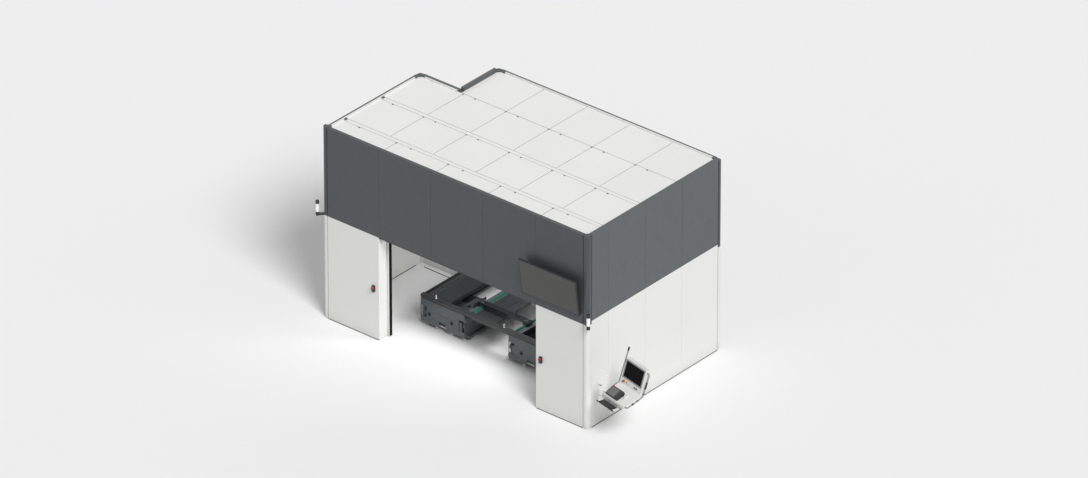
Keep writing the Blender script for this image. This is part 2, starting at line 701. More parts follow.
class LASER_OT_wall_gaskets(bpy.types.Operator):
    """Add the strips in the wall joints, the foot strips and the filler beside a post"""

    bl_idname = "laser.wall_gaskets"
    bl_label = "Wall Gaskets"

    def execute(self, context):
        half = context.scene.laser_cabin.gasket_width / 2
        sink, depth = 0.003, 0.03
        panel, foot, rim = 0.08, 0.02, 0.06
        dark = bmesh.new()
        for x in row_gaps("fascia_panels", 0, FASCIA_LOW, FASCIA_HIGH):
            low = (x - half, FASCIA_LOW.y + sink, FASCIA_LOW.z)
            add_span(dark, low, (x + half, FASCIA_LOW.y + depth, FASCIA_HIGH.z - sink))
        pale = bmesh.new()
        for node, bm in (("upper_wall_panels", dark), ("lower_wall_panels", pale)):
            low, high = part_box(node)
            for y in row_gaps(node, 1, (high.x - panel, low.y, low.z), high):
                add_span(bm, (high.x - depth, y - half, low.z), (high.x - sink, y + half, high.z - sink))
            for x in row_gaps(node, 0, (low.x, high.y - panel, low.z), (high.x, high.y, low.z + foot)):
                add_span(bm, (x - half, high.y - depth, low.z), (x + half, high.y - sink, high.z - rim))
            for y in row_gaps(node, 1, low, (low.x + panel, high.y, high.z)):
                add_span(bm, (low.x + sink, y - half, low.z), (low.x + depth, y + half, high.z - rim))
        make_piece("dark_gaskets", dark, "rubber", "cabin")
        make_piece("pale_gaskets", pale, "grey_plastic", "cabin")
        self.add_foot_strips()
        return {"FINISHED"}

    def add_foot_strips(self):
        """Seal the walls to the floor with a low rubber strip, and fill the joint beside one front post."""
        low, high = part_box("lower_wall_panels")
        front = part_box("front_panels")[0].y
        door_low, door_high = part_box("door_guides")
        notch_x = min(point.x for point in points("lower_wall_panels") if point.y > high.y - 0.005)
        notch_y = max(point.y for point in points("lower_wall_panels") if point.x < low.x + 0.005)
        proud, tall, post, wall, jamb = 0.004, 0.011, 0.115, 0.07, 0.02
        bm = bmesh.new()
        runs = (
            ((low.x + post, front), (door_low.x - jamb, front), (0, -1)),
            ((door_high.x + jamb, front), (high.x - post, front), (0, -1)),
            ((high.x, front + post), (high.x, high.y - post), (1, 0)),
            ((notch_x + post, high.y), (high.x - post, high.y), (0, 1)),
            ((low.x, front + post), (low.x, notch_y - post), (-1, 0)),
            ((low.x + wall, front + 2 * post), (low.x + wall, notch_y - post), (1, 0)),
            ((notch_x + wall, notch_y), (notch_x + wall, high.y - post), (1, 0)),
            ((low.x + 2 * post, notch_y - wall), (notch_x, notch_y - wall), (0, -1)),
            ((notch_x + post, high.y - wall), (high.x - post, high.y - wall), (0, -1)),
            ((high.x - wall, front + 2 * post), (high.x - wall, high.y - post), (-1, 0)),
        )
        for run in runs:
            add_run(bm, run, proud, proud, 0.0, tall, 0.0012)
        make_piece("foot_strips", bm, "rubber", "cabin")
        filler = bmesh.new()
        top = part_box("corner_posts_lower")[1].z
        filler_low = (high.x - 0.038, low.y - 0.0145, 0.001)
        add_span(filler, filler_low, (high.x - 0.0015, low.y - 0.0005, top - 0.001), 0.001)
        make_piece("post_filler", filler, "white_enamel", "cabin")


class LASER_OT_roof_flashing(bpy.types.Operator):
    """Add the white sheet edges over the low roof rims and the caps of the front posts"""

    bl_idname = "laser.roof_flashing"
    bl_label = "Roof Flashing"

    def execute(self, context):
        sheet, lap, edge = 0.002, 0.03, 0.12
        rim = max(point.z for point in points("upper_wall_panels") if point.x < ROOF_LOW.x)
        bm = bmesh.new()
        runs = (
            ((ROOF_LOW.x, ROOF_LOW.y + edge), (ROOF_LOW.x, NOTCH_Y - edge), (-1, 0)),
            ((ROOF_LOW.x + edge, NOTCH_Y), (NOTCH_X - edge, NOTCH_Y), (0, 1)),
            ((NOTCH_X + edge, ROOF_HIGH.y), (ROOF_HIGH.x - edge, ROOF_HIGH.y), (0, 1)),
        )
        for run in runs:
            add_run(bm, run, sheet, lap, rim - sheet, rim + sheet, sheet * 0.4)
            add_run(bm, run, sheet, 0.0, ROOF_HIGH.z, rim + sheet)
        make_piece("roof_flashing", bm, "roof_enamel", "cabin")
        self.add_post_caps()
        return {"FINISHED"}

    def add_post_caps(self):
        """Raise the front posts to the rim with a cap of the same outline."""
        mesh = NODES["corner_posts_upper"].data
        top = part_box("corner_posts_upper")[1].z
        lowered, front = 0.002, ROOF_LOW.y + 0.5
        bm = bmesh.new()
        for face in mesh.polygons:
            if face.normal.z > 0.9 and face.center.z > top - lowered and face.center.y < front:
                bm.faces.new([bm.verts.new(mesh.vertices[index].co) for index in face.vertices])
        bmesh.ops.remove_doubles(bm, verts=bm.verts, dist=1e-5)
        lifted = bmesh.ops.extrude_face_region(bm, geom=bm.faces[:])
        upper = [part for part in lifted["geom"] if isinstance(part, bmesh.types.BMVert)]
        rise = min(FASCIA_HIGH.z, WALL_HIGH.z) - lowered - top
        bmesh.ops.translate(bm, verts=upper, vec=(0, 0, rise))
        make_piece("post_caps", bm, "fascia_enamel", "cabin")


class LASER_OT_cabin_fittings(bpy.types.Operator):
    """Add the lamp rings, station fittings, collar bolts, door seal and guide covers"""

    bl_idname = "laser.cabin_fittings"
    bl_label = "Cabin Fittings"

    def execute(self, context):
        self.add_lamp_rings()
        self.add_station_fittings()
        self.add_collar_fixings()
        self.add_door_seal()
        self.add_guide_covers()
        return {"FINISHED"}

    def add_door_seal(self):
        """Wrap the lower edge of the door in rubber."""
        low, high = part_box("door_leaf_lower")
        inset, proud, below, above = 0.06, 0.001, 0.009, 0.006
        bm = bmesh.new()
        start = (low.x + inset, low.y - proud, low.z - below)
        add_span(bm, start, (high.x - inset, high.y + proud, low.z + above), 0.003)
        make_piece("door_seal", bm, "rubber", "door_lower")

    def add_guide_covers(self):
        """Cover the front of both door guides with a white edge plate."""
        low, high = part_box("door_guides")
        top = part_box("front_panels")[1].z
        hidden, wide, thick = 0.009, 0.054, 0.0024
        bm = bmesh.new()
        for x_from, x_to in ((low.x + hidden, low.x + wide), (high.x - wide, high.x - hidden)):
            add_span(bm, (x_from, low.y - thick, 0.002), (x_to, low.y - 0.0002, top - 0.004), 0.0008)
        make_piece("guide_covers", bm, "white_enamel", "cabin")

    def add_lamp_rings(self):
        """Seat each lamp lens between two dark rings."""
        low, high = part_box("lamp_lenses")
        radius = (high.y - low.y) / 2
        bm = bmesh.new()
        for x in (low.x + radius, high.x - radius):
            for share in (0.0, 0.97):
                spot = (x, low.y + radius, low.z + share * (high.z - low.z))
                add_turned(bm, Matrix.Translation(spot), ring(radius + 0.001, radius - 0.002, 0.0035), steps=32)
        make_piece("lamp_rings", bm, "black_enamel", "cabin")

    def add_station_fittings(self):
        """Put a ring round each button and a screw in each corner of the stations."""
        low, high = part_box("station_boxes")
        half, bore = 0.032, 0.0138
        screw, screw_x, screw_z = 0.0035, 0.023, 0.009
        rings = bmesh.new()
        screws = bmesh.new()
        for side, x in (("left", low.x + half), ("right", high.x - half)):
            for kind, outer in (("stop", 0.0215), ("start", 0.0175)):
                z = sum(corner.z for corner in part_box(f"{side}_{kind}_button")) / 2
                add_turned(rings, facing((x, low.y, z), -BACK), ring(outer, bore, 0.003))
            for way in (-1, 1):
                for z in (low.z + screw_z, high.z - screw_z):
                    add_socket_screw(screws, facing((x + way * screw_x, low.y, z), -BACK), screw)
        make_piece("station_rings", rings, "bare_steel", "cabin")
        make_piece("station_screws", screws, "bolt_steel", "cabin")

    def add_collar_fixings(self):
        """Bolt the extraction collar's flange and put a bead round its end."""
        low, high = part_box("extraction_collar")
        middle = Vector(((low.x + high.x) / 2, low.y, (low.z + high.z) / 2))
        radius = (high.x - low.x) / 2
        bolts, spigot = 8, radius * 0.715
        bm = bmesh.new()
        for step in range(bolts):
            turn = math.tau * (step + 0.5) / bolts
            spot = middle + Vector((math.cos(turn), 0, math.sin(turn))) * radius * 0.86
            add_bolt(bm, facing(spot + BACK * 0.006, BACK), 0.008)
        bead = facing(middle + BACK * (high.y - low.y - 0.03), BACK)
        add_turned(bm, bead, ring(spigot + 0.004, spigot - 0.001, 0.012, 0.002), steps=48)
        make_piece("collar_fixings", bm, "bolt_steel", "cabin")


class LASER_OT_bed_finish(bpy.types.Operator):
    """Finish the bed, its drawers and the fixture"""

    bl_idname = "laser.bed_finish"
    bl_label = "Bed Finish"

    def execute(self, context):
        coat("bed_enamel", "left_bed_frame", "right_bed_frame", "left_scrap_drawer", "right_scrap_drawer")
        coat("deck_enamel", "bed_plates", "fixture_beam")
        coat("beam_enamel", "front_beam")
        coat("green_enamel", "fixture_rails")
        coat("rail_steel", "portal_rails")
        coat("bolt_steel", "levelling_feet")
        coat("black_plastic", "energy_chain")
        coat("wheel_nylon", "left_drawer_wheels", "right_drawer_wheels")
        return {"FINISHED"}


class LASER_OT_bed_fittings(bpy.types.Operator):
    """Add rail plugs, chain bars, beam ends, pin sleeves, foot nuts and fixture clamps"""

    bl_idname = "laser.bed_fittings"
    bl_label = "Bed Fittings"

    def execute(self, context):
        look = context.scene.laser_bed
        self.add_rail_plugs(look)
        self.add_chain_bars(look)
        self.add_beam_ends()
        self.add_foot_nuts()
        self.add_fixture_clamps(look)
        return {"FINISHED"}

    def add_rail_plugs(self, look):
        """Close the rails' bolt holes with flush plugs."""
        low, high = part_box("portal_rails")
        half, pitch = 0.017, look.rail_bolt_pitch
        plug = ring(0.0075, 0.0048, 0.0012, 0.0002)
        bm = bmesh.new()
        for x in (low.x + half, high.x - half):
            for step in range(int((high.y - low.y) / pitch)):
                spot = (x, low.y + (step + 0.5) * pitch, high.z - 0.001)
                add_turned(bm, Matrix.Translation(spot), plug, steps=14)
        make_piece("rail_plugs", bm, "bolt_steel", "cabin")

    def add_chain_bars(self, look):
        """Lay a pair of cross bars on each link of the chain."""
        low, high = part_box("energy_chain")
        pitch, slack = look.chain_pitch, 0.003
        bm = bmesh.new()
        for step in range(int((high.y - low.y + slack) / pitch)):
            for share in (0.32, 0.68):
                spot = ((low.x + high.x) / 2, low.y + (step + share) * pitch, high.z - 0.001)
                add_block(bm, Matrix.Translation(spot), (high.x - low.x - 0.006, 0.009, 0.005), 0.0015, 1)
        make_piece("chain_bars", bm, "key_plastic", "cabin")

    def add_beam_ends(self):
        """Close both ends of the front tube and sleeve its two stop pins."""
        low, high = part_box("front_beam")
        middle = (low + high) / 2
        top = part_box("portal_rails")[1].z
        wall = 0.008
        caps = bmesh.new()
        for x, out in ((low.x, -RIGHT), (high.x, RIGHT)):
            place = facing((x, middle.y, (low.z + top) / 2), out, BACK)
            add_block(caps, place, (high.y - low.y - wall, top - low.z - wall, 0.005), 0.002)
        make_piece("beam_caps", caps, "black_plastic", "cabin")
        sleeves = bmesh.new()
        height = high.z - top
        outline = [
            (0.0, 0.0), (0.02, 0.0), (0.02, 0.006), (0.012, 0.008), (0.0115, height - 0.004),
            (0.008, height + 0.002), (0.0, height + 0.003),
        ]
        tips = [round(point.x, 3) for point in points("front_beam") if point.z > high.z - 0.002]
        for pin in ([x for x in tips if x < middle.x], [x for x in tips if x >= middle.x]):
            spot = ((min(pin) + max(pin)) / 2, middle.y, top)
            add_turned(sleeves, Matrix.Translation(spot), outline, steps=20)
        make_piece("pin_sleeves", sleeves, "white_plastic", "cabin")

    def add_foot_nuts(self):
        """Put a lock nut on the stem of each levelling foot."""
        low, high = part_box("levelling_feet")
        radius, middle = 0.042, (low.x + high.x) / 2
        sides = [round(point.x, 3) for point in points("levelling_feet")]
        inner = (max(x for x in sides if x < middle), min(x for x in sides if x > middle))
        bm = bmesh.new()
        for x in (low.x + radius, inner[0] - radius, inner[1] + radius, high.x - radius):
            for y in (low.y + radius, high.y - radius):
                add_disc(bm, Matrix.Translation((x, y, high.z - 0.03)), 0.024, 0.018, sides=6, chamfer=0.002)
                add_turned(bm, Matrix.Translation((x, y, low.z + 0.0135)), ring(0.026, 0.0135, 0.006), steps=18)
        make_piece("foot_nuts", bm, "bolt_steel", "cabin")

    def add_fixture_clamps(self, look):
        """Clamp the fixture bars over both rails."""
        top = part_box("fixture_beam")[1].z
        rails_low, rails_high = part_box("fixture_rails")
        crest = [point.y for point in points("fixture_beam") if point.z > top - 0.001]
        middle = (min(crest) + max(crest)) / 2
        half, spread, thick = 0.022, 0.036, 0.012
        bm = bmesh.new()
        for x in (rails_low.x + half, rails_high.x - half):
            for way in (-1, 1):
                place = Matrix.Translation((x, middle + way * spread, top))
                add_block(bm, place, (0.07, 0.038, thick), 0.003)
                add_bolt(bm, raised(place, thick), look.bolt_radius)
        make_piece("fixture_clamps", bm, "bolt_steel", "fixture")


# Places on a scrap drawer's front, from its outer end and over the floor

LATCH_PLACES, LATCH_HEIGHT = (0.0735, 1.0175), 0.3
HOLE_PLACES, HOLE_HEIGHT = (0.2075, 0.7409), 0.278
PULL_PLACE, PULL_HEIGHT, PULL_LENGTH = 0.5162, 0.132, 0.172
LATCH_BODY = (0.06, 0.094, 0.0275)


class LASER_OT_drawer_fittings(bpy.types.Operator):
    """Add the latches, grommets, pull bars and wheel hubs of the scrap drawers"""

    bl_idname = "laser.drawer_fittings"
    bl_label = "Drawer Fittings"

    def execute(self, context):
        latches = bmesh.new()
        for side in ("left", "right"):
            low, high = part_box(f"{side}_scrap_drawer")
            outer, way = (low.x, RIGHT) if side == "left" else (high.x, -RIGHT)
            front = Vector((outer, low.y, 0))
            self.add_grommets(side, [front + way * place + UP * HOLE_HEIGHT for place in HOLE_PLACES])
            self.add_pull(side, front + way * PULL_PLACE + UP * PULL_HEIGHT)
            self.add_hubs(side)
            for place in LATCH_PLACES:
                self.add_latch(latches, front + way * place + BACK * 0.06 + UP * LATCH_HEIGHT)
        make_piece("drawer_latches", latches, "latch_steel", "cabin")
        return {"FINISHED"}

    def add_latch(self, bm, spot):
        """Add one latch: a bevelled body, a collar and a six-sided nut with its stud."""
        back = facing(spot, -BACK)
        face = raised(back, LATCH_BODY[2])
        add_block(bm, back, LATCH_BODY, 0.006)
        add_turned(bm, face, ring(0.028, 0.01, 0.004))
        add_disc(bm, raised(face, 0.004), 0.0255, 0.014, sides=6, chamfer=0.002)
        add_disc(bm, raised(face, 0.018), 0.009, 0.006, sides=16, chamfer=0.0015)
        for way in (-1, 1):
            add_socket_screw(bm, face @ Matrix.Translation((0, way * 0.037, 0)), 0.0055)

    def add_grommets(self, side, spots):
        """Line the lifting holes with black rubber."""
        deep, flange = 0.011, 0.0135
        outline = [
            (0.0, 0.0), (0.0325, 0.0), (0.0325, deep), (0.038, deep), (0.037, flange),
            (0.030, flange), (0.028, deep), (0.027, 0.0015), (0.0, 0.001),
        ]
        bm = bmesh.new()
        for spot in spots:
            add_turned(bm, facing(spot + BACK * deep, -BACK), outline)
        make_piece(f"{side}_hole_grommets", bm, "rubber", f"{side}_drawer")

    def add_pull(self, side, spot):
        """Sleeve the pull bar in bright tube with a collar at each end."""
        tube, collar = 0.0095, 0.013
        bm = bmesh.new()
        add_turned(bm, facing(spot + BACK * 0.012 - RIGHT * PULL_LENGTH / 2, RIGHT), [
            (0.0, 0.0), (collar, 0.0), (collar, 0.008), (tube, 0.01), (tube, PULL_LENGTH - 0.01),
            (collar, PULL_LENGTH - 0.008), (collar, PULL_LENGTH), (0.0, PULL_LENGTH),
        ])
        make_piece(f"{side}_pull_sleeve", bm, "ground_steel", f"{side}_drawer")

    def add_hubs(self, side):
        """Put a grey hub on both faces of each wheel."""
        low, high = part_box(f"{side}_drawer_wheels")
        middle = (low + high) / 2
        inset, half = 0.038, 0.017
        bm = bmesh.new()
        for x in (low.x + inset, high.x - inset):
            for way in (-1, 1):
                place = facing((x + way * half, middle.y, middle.z), RIGHT * way)
                add_turned(bm, place, ring(0.03, 0.0105, 0.002))
        make_piece(f"{side}_wheel_hubs", bm, "grey_plastic", f"{side}_wheels")


class LASER_OT_axes_finish(bpy.types.Operator):
    """Finish the portal, carriage, ram and cutting head, with column bolts, drive and head rings"""

    bl_idname = "laser.axes_finish"
    bl_label = "Axes Finish"

    def execute(self, context):
        coat("bed_enamel", "portal_columns", "carriage")
        coat("frame_enamel", "portal_beam", "turning_fork")
        coat("ram_steel", "ram")
        coat("bare_steel", "cutting_head")
        coat("copper", "nozzle")
        self.add_column_bolts(context.scene.laser_bed)
        self.add_drive()
        self.add_head_rings()
        return {"FINISHED"}

    def add_column_bolts(self, look):
        """Bolt both column feet to their trucks."""
        low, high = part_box("portal_columns")
        foot, half, spread, inset = 0.716, 0.11, 0.08, 0.02
        bm = bmesh.new()
        for x in (low.x + half, high.x - half):
            for way in (-1, 1):
                for y in (low.y + inset, high.y - inset):
                    add_bolt(bm, Matrix.Translation((x + way * spread, y, foot)), look.bolt_radius)
        make_piece("column_bolts", bm, "bolt_steel", "portal")

    def add_drive(self):
        """Stand a finned drive on the carriage plate."""
        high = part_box("carriage")[1]
        back = JOINTS["fork_turn"]["pos_m"][1] + 0.135
        fins, pitch = 9, 0.018
        bm = bmesh.new()
        place = Matrix.Translation((high.x - 0.1, back, high.z))
        add_block(bm, place, (0.1, 0.09, 0.012), 0.003)
        for step in range(fins):
            add_block(bm, raised(place, 0.014 + step * pitch), (0.09, 0.08, 0.014), 0.004)
        add_block(bm, raised(place, 0.01), (0.078, 0.068, 0.17), 0.004)
        add_disc(bm, raised(place, 0.18), 0.032, 0.03, sides=28, chamfer=0.006)
        make_piece("carriage_drive", bm, "black_enamel", "carriage")

    def add_head_rings(self):
        """Put two clamping rings on the head."""
        pivot = Vector(JOINTS["head_tilt"]["pos_m"])
        radius = 0.036
        bm = bmesh.new()
        for height in (0.05, -0.075):
            outline = ring(radius + 0.003, radius - 0.002, 0.012, 0.002)
            add_turned(bm, Matrix.Translation(pivot + UP * height), outline)
        make_piece("head_rings", bm, "black_enamel", "head")


# Console values read from the frame

DESK_BACK = -Vector(JOINTS["tray_slide"]["axis"]).normalized()
DESK_RIGHT = DESK_BACK.cross(UP).normalized()
DESK_MIDDLE = sum(span("console_housing", DESK_RIGHT)) / 2
DESK_FRONT = span("console_housing", DESK_BACK)[0]
KNOB_SPOT = Vector(JOINTS["knob_left_turn"]["pos_m"])
FACE_OUT = Vector(JOINTS["knob_left_turn"]["axis"]).normalized()

# Bends and ends of the handle tubes: distance behind the desk's front edge, and height

TUBE_RADIUS, TUBE_OFFSET = 0.013, 0.35
TUBE_NEAR, TUBE_KNEE = (0.034, 0.8996), (0.387, 1.0093)
TUBE_TOP, TUBE_TIP = (0.5389, 1.42), (0.5941, 1.59)


def desk_point(across, back, height):
    """Give a place from its distance across the desk's middle, behind its front edge, and its height."""
    return DESK_RIGHT * (DESK_MIDDLE + across) + DESK_BACK * (DESK_FRONT + back) + UP * height


class LASER_OT_controls_finish(bpy.types.Operator):
    """Finish the display, the button stations and the console"""

    bl_idname = "laser.controls_finish"
    bl_label = "Controls Finish"

    def execute(self, context):
        coat("frame_enamel", "wall_brackets", "arm_link", "console_neck", "console_housing", "keyboard_tray")
        coat("display_frame", "display_housing")
        coat("display_face", "display_screen")
        coat("black_plastic", "station_boxes", "left_start_button", "right_start_button")
        coat("black_plastic", "tablet_pendant", "keyboard")
        coat("stop_red", "left_stop_button", "right_stop_button", "console_stop_button")
        coat("collar_yellow", "stop_collar")
        coat("button_blue", "console_blue_button")
        coat("black_plastic", "console_knob_left", "console_knob_right")
        coat("grey_plastic", "console_bezel")
        coat("screen_glass", "console_screen")
        coat("tablet_face", "tablet_screen")
        coat("tube_enamel", "console_handles")
        coat("white_plastic", "desk_mouse")
        return {"FINISHED"}


class LASER_OT_keyboard_fittings(bpy.types.Operator):
    """Add the keys, the tray's dark edge and the mouse's wheel"""

    bl_idname = "laser.keyboard_fittings"
    bl_label = "Keyboard Fittings"

    def execute(self, context):
        look = context.scene.laser_console
        self.add_keys(look)
        self.add_tray_edge()
        self.add_mouse_wheel()
        return {"FINISHED"}

    def add_keys(self, look):
        """Cover the keyboard's rows with single keys, the nearest row with a long bar."""
        left, right = span("keyboard", DESK_RIGHT)
        front, back = span("keyboard", DESK_BACK)
        base = UP * (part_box("keyboard")[1].z - 0.004)
        margin = 0.004
        pitch_u = (right - left - 2 * margin) / look.key_columns
        pitch_v = (back - front) / look.key_rows
        single = [(column + 0.5, 1.0) for column in range(look.key_columns)]
        near = [(0.75, 1.5), (2.25, 1.5), (6.0, 6.0), (9.75, 1.5), (11.25, 1.5), (13.0, 2.0)]
        bm = bmesh.new()
        for row in range(look.key_rows):
            line = DESK_BACK * (front + (row + 0.5) * pitch_v) + base
            for middle, width in single if row else near:
                spot = DESK_RIGHT * (left + margin + middle * pitch_u) + line
                place = axes_matrix(spot, DESK_RIGHT, DESK_BACK, UP)
                add_block(bm, place, (pitch_u * width - 0.0035, pitch_v - 0.0045, 0.0065), 0.0016, 1)
        make_piece("keyboard_keys", bm, "key_plastic", "tray")

    def add_tray_edge(self):
        """Cap the tray's front lip with a dark edge profile."""
        left, right = span("keyboard_tray", DESK_RIGHT)
        front = span("keyboard_tray", DESK_BACK)[0]
        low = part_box("keyboard_tray")[0].z
        spot = DESK_RIGHT * (left + right) / 2 + DESK_BACK * (front + 0.005) + UP * (low - 0.001)
        bm = bmesh.new()
        place = axes_matrix(spot, DESK_RIGHT, DESK_BACK, UP)
        add_block(bm, place, (right - left + 0.003, 0.0135, 0.0245), 0.003)
        make_piece("tray_edge", bm, "rubber", "tray")

    def add_mouse_wheel(self):
        """Set a wheel and a thin parting line into the mouse."""
        top, normal = largest_face("desk_mouse", UP)
        along = normal.cross(DESK_RIGHT).normalized()
        half = 0.0035
        wheel = facing(top + along * 0.026 - normal * half - DESK_RIGHT * half, DESK_RIGHT)
        line = axes_matrix(top + along * 0.012 - normal * 0.001, DESK_RIGHT, along, normal)
        bm = bmesh.new()
        add_turned(bm, wheel, ring(0.008, 0.002, 2 * half, 0.0015), steps=18)
        add_block(bm, line, (0.0012, 0.03, 0.0014))
        make_piece("mouse_wheel", bm, "grey_plastic", "console")


class LASER_OT_console_fittings(bpy.types.Operator):
    """Add the tablet's keys, desk vents, tube grips, screws and arm fittings"""

    bl_idname = "laser.console_fittings"
    bl_label = "Console Fittings"

    def execute(self, context):
        self.add_tablet_keys()
        self.add_desk_vents()
        self.add_tube_grips()
        self.add_face_fittings()
        self.add_arm_fittings(context.scene.laser_bed)
        return {"FINISHED"}

    def add_tablet_keys(self):
        """Fill the strip beside the tablet's screen with keys, and cap its stop button in red."""
        middle, normal = largest_face("tablet_screen", UP)
        up_slope = normal.cross(DESK_RIGHT).normalized()
        left, right = span("tablet_pendant", DESK_RIGHT)
        near, far = span("tablet_screen", up_slope)
        face = middle.dot(normal) - 0.002
        margin, columns, rows = 0.014, 4, 6
        start = span("tablet_screen", DESK_RIGHT)[1] + margin
        pitch_u = (right - margin - start) / columns
        pitch_w = (far - near) / rows

        def on_face(u, w, lift=0.0):
            spot = DESK_RIGHT * u + up_slope * w + normal * (face + lift)
            return axes_matrix(spot, DESK_RIGHT, up_slope, normal)

        keys = bmesh.new()
        for column in range(columns):
            for row in range(rows):
                place = on_face(start + (column + 0.5) * pitch_u, near + (row + 0.5) * pitch_w)
                add_block(keys, place, (pitch_u * 0.68, 0.016, 0.0035), 0.0015, 1)
        make_piece("tablet_keys", keys, "key_plastic", "console")
        stem, head = 0.008, 0.0155
        cap = bmesh.new()
        add_turned(cap, on_face(left + 0.03, span("tablet_pendant", up_slope)[1] - 0.009, 0.001), [
            (0.0, 0.0), (stem, 0.0), (stem, 0.006), (head, 0.008), (head, 0.015), (0.012, 0.019), (0.0, 0.02),
        ])
        make_piece("tablet_stop_cap", cap, "stop_red", "console")

    def add_desk_vents(self):
        """Add a row of vents along the desk's front edge."""
        vents, start, pitch, height = 10, -0.235, 0.046, 0.876
        bm = bmesh.new()
        for step in range(vents):
            spot = desk_point(start + step * pitch, 0.0005, height)
            add_block(bm, axes_matrix(spot, DESK_RIGHT, UP, -DESK_BACK), (0.03, 0.009, 0.0022), 0.001, 1)
        make_piece("desk_vents", bm, "rubber", "console")

    def add_tube_grips(self):
        """Sleeve the handle tubes with grips and clamps, and cap the free end."""
        bm = bmesh.new()
        runs = (
            (TUBE_KNEE, TUBE_TOP, 0.36, 0.13, 0.0042),
            (TUBE_KNEE, TUBE_TOP, 0.12, 0.02, 0.003),
            (TUBE_NEAR, TUBE_KNEE, 0.3, 0.05, 0.003),
            (TUBE_NEAR, TUBE_KNEE, 0.62, 0.03, 0.003),
        )
        for start, end, share, length, wall in runs:
            first, last = (desk_point(TUBE_OFFSET, *spot) for spot in (start, end))
            self.add_sleeve(bm, first.lerp(last, share), last - first, wall, length)
        tip = desk_point(-TUBE_OFFSET, *TUBE_TIP)
        way = (tip - desk_point(-TUBE_OFFSET, *TUBE_KNEE)).normalized()
        cap = 0.0175
        add_turned(bm, facing(tip - way * 0.012, way), [
            (0.0, 0.0), (0.0165, 0.0), (cap, 0.004), (cap, 0.064), (TUBE_RADIUS, 0.0735), (0.0, 0.075),
        ])
        make_piece("tube_grips", bm, "rubber", "console")

    def add_sleeve(self, bm, start, way, wall, length):
        """Add one ribbed sleeve round a straight run of tube."""
        inner, outer = TUBE_RADIUS - 0.001, TUBE_RADIUS + wall
        end, groove = 0.002, outer - 0.0012
        ribs = max(1, int(length / 0.012))
        pitch = (length - 2 * end) / ribs
        outline = [(inner, 0.0), (outer - 0.001, 0.0), (outer, end)]
        for rib in range(ribs):
            low, high = end + rib * pitch, end + (rib + 1) * pitch
            outline += [(outer, low + 0.001), (outer, high - 0.003), (groove, high - 0.002), (groove, high)]
        outline += [(outer - 0.001, length), (inner, length)]
        add_turned(bm, facing(start, way), outline, steps=20)

    def add_face_fittings(self):
        """Add a thin ring under each control and screws at the corners of the face strip."""
        rings = bmesh.new()
        for name in ("knob_left_turn", "knob_right_turn"):
            spot = Vector(JOINTS[name]["pos_m"])
            add_turned(rings, facing(spot, FACE_OUT), ring(0.0178, 0.0138, 0.002))
        low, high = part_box("console_blue_button")
        middle = (low + high) / 2
        spot = middle + FACE_OUT * (KNOB_SPOT - middle).dot(FACE_OUT)
        add_turned(rings, facing(spot, FACE_OUT), ring(0.0155, 0.0113, 0.002))
        make_piece("control_rings", rings, "bare_steel", "console")
        screws = bmesh.new()
        up_face = FACE_OUT.cross(DESK_RIGHT).normalized()
        base = KNOB_SPOT - DESK_RIGHT * (KNOB_SPOT.dot(DESK_RIGHT) - DESK_MIDDLE)
        for across in (-0.272, 0.272):
            for along in (-0.036, 0.036):
                place = facing(base + DESK_RIGHT * across + up_face * along, FACE_OUT)
                add_socket_screw(screws, place, 0.0045)
        make_piece("face_screws", screws, "bolt_steel", "console")

    def add_arm_fittings(self, look):
        """Add the elbow's seal and cap, and the bolts of the arm's wall plate."""
        elbow = Vector(JOINTS["elbow_swing"]["pos_m"])
        seal = bmesh.new()
        add_turned(seal, Matrix.Translation(elbow - UP * 0.006), ring(0.0788, 0.07, 0.006, 0.001), steps=40)
        make_piece("elbow_seal", seal, "rubber", "arm")
        cap = bmesh.new()
        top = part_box("console_neck")[1].z
        add_turned(cap, Matrix.Translation((elbow.x, elbow.y, top)), [
            (0.0, 0.0), (0.07, 0.0), (0.069, 0.004), (0.06, 0.006), (0.0, 0.007),
        ], steps=40)
        make_piece("elbow_cap", cap, "frame_enamel", "console")
        bolts = bmesh.new()
        plate, thick = WALL_HIGH.x, 0.016
        for y in (0.085, 0.515):
            for z in (0.74, 0.893):
                add_bolt(bolts, facing((plate + thick, y, z), RIGHT), look.bolt_radius * 0.8)
        make_piece("bracket_bolts", bolts, "frame_enamel", "cabin")


class LASER_OT_display_fittings(bpy.types.Operator):
    """Add the display's edge lip and the vents on its back"""

    bl_idname = "laser.display_fittings"
    bl_label = "Display Fittings"

    def execute(self, context):
        middle, normal = largest_face("display_screen", -BACK)
        up_face = normal.cross(RIGHT).normalized()
        if up_face.z < 0:
            up_face.negate()
        left, right = span("display_housing", RIGHT)
        foot, head = span("display_screen", up_face)
        level = middle.dot(normal)

        def on_display(u, w, height):
            return RIGHT * ((left + right) / 2 + u) + up_face * ((foot + head) / 2 + w) + normal * height

        edge, play = 0.014, 0.003
        width, height = right - left, head - foot + 2 * edge
        side_u, side_w = (width - edge) / 2, (height - edge) / 2
        flat = (width - 2 * play, edge - play)
        upright = (edge - play, height - 2 * edge)
        lip = bmesh.new()
        bars = ((0.0, side_w, flat), (0.0, -side_w, flat), (side_u, 0.0, upright), (-side_u, 0.0, upright))
        for u, w, size in bars:
            place = axes_matrix(on_display(u, w, level - 0.0005), RIGHT, normal.cross(RIGHT), normal)
            add_block(lip, place, (*size, 0.0025), 0.001, 1)
        make_piece("display_lip", lip, "display_frame", "display")
        columns, start, pitch, deep = 12, -0.33, 0.06, 0.0395
        vents = bmesh.new()
        for step in range(columns):
            for w in (-0.2, 0.26):
                place = axes_matrix(on_display(start + step * pitch, w, level - deep), RIGHT, up_face, -normal)
                add_block(vents, place, (0.008, 0.07, 0.002), 0.0009, 1)
        make_piece("display_vents", vents, "rubber", "display")
        return {"FINISHED"}


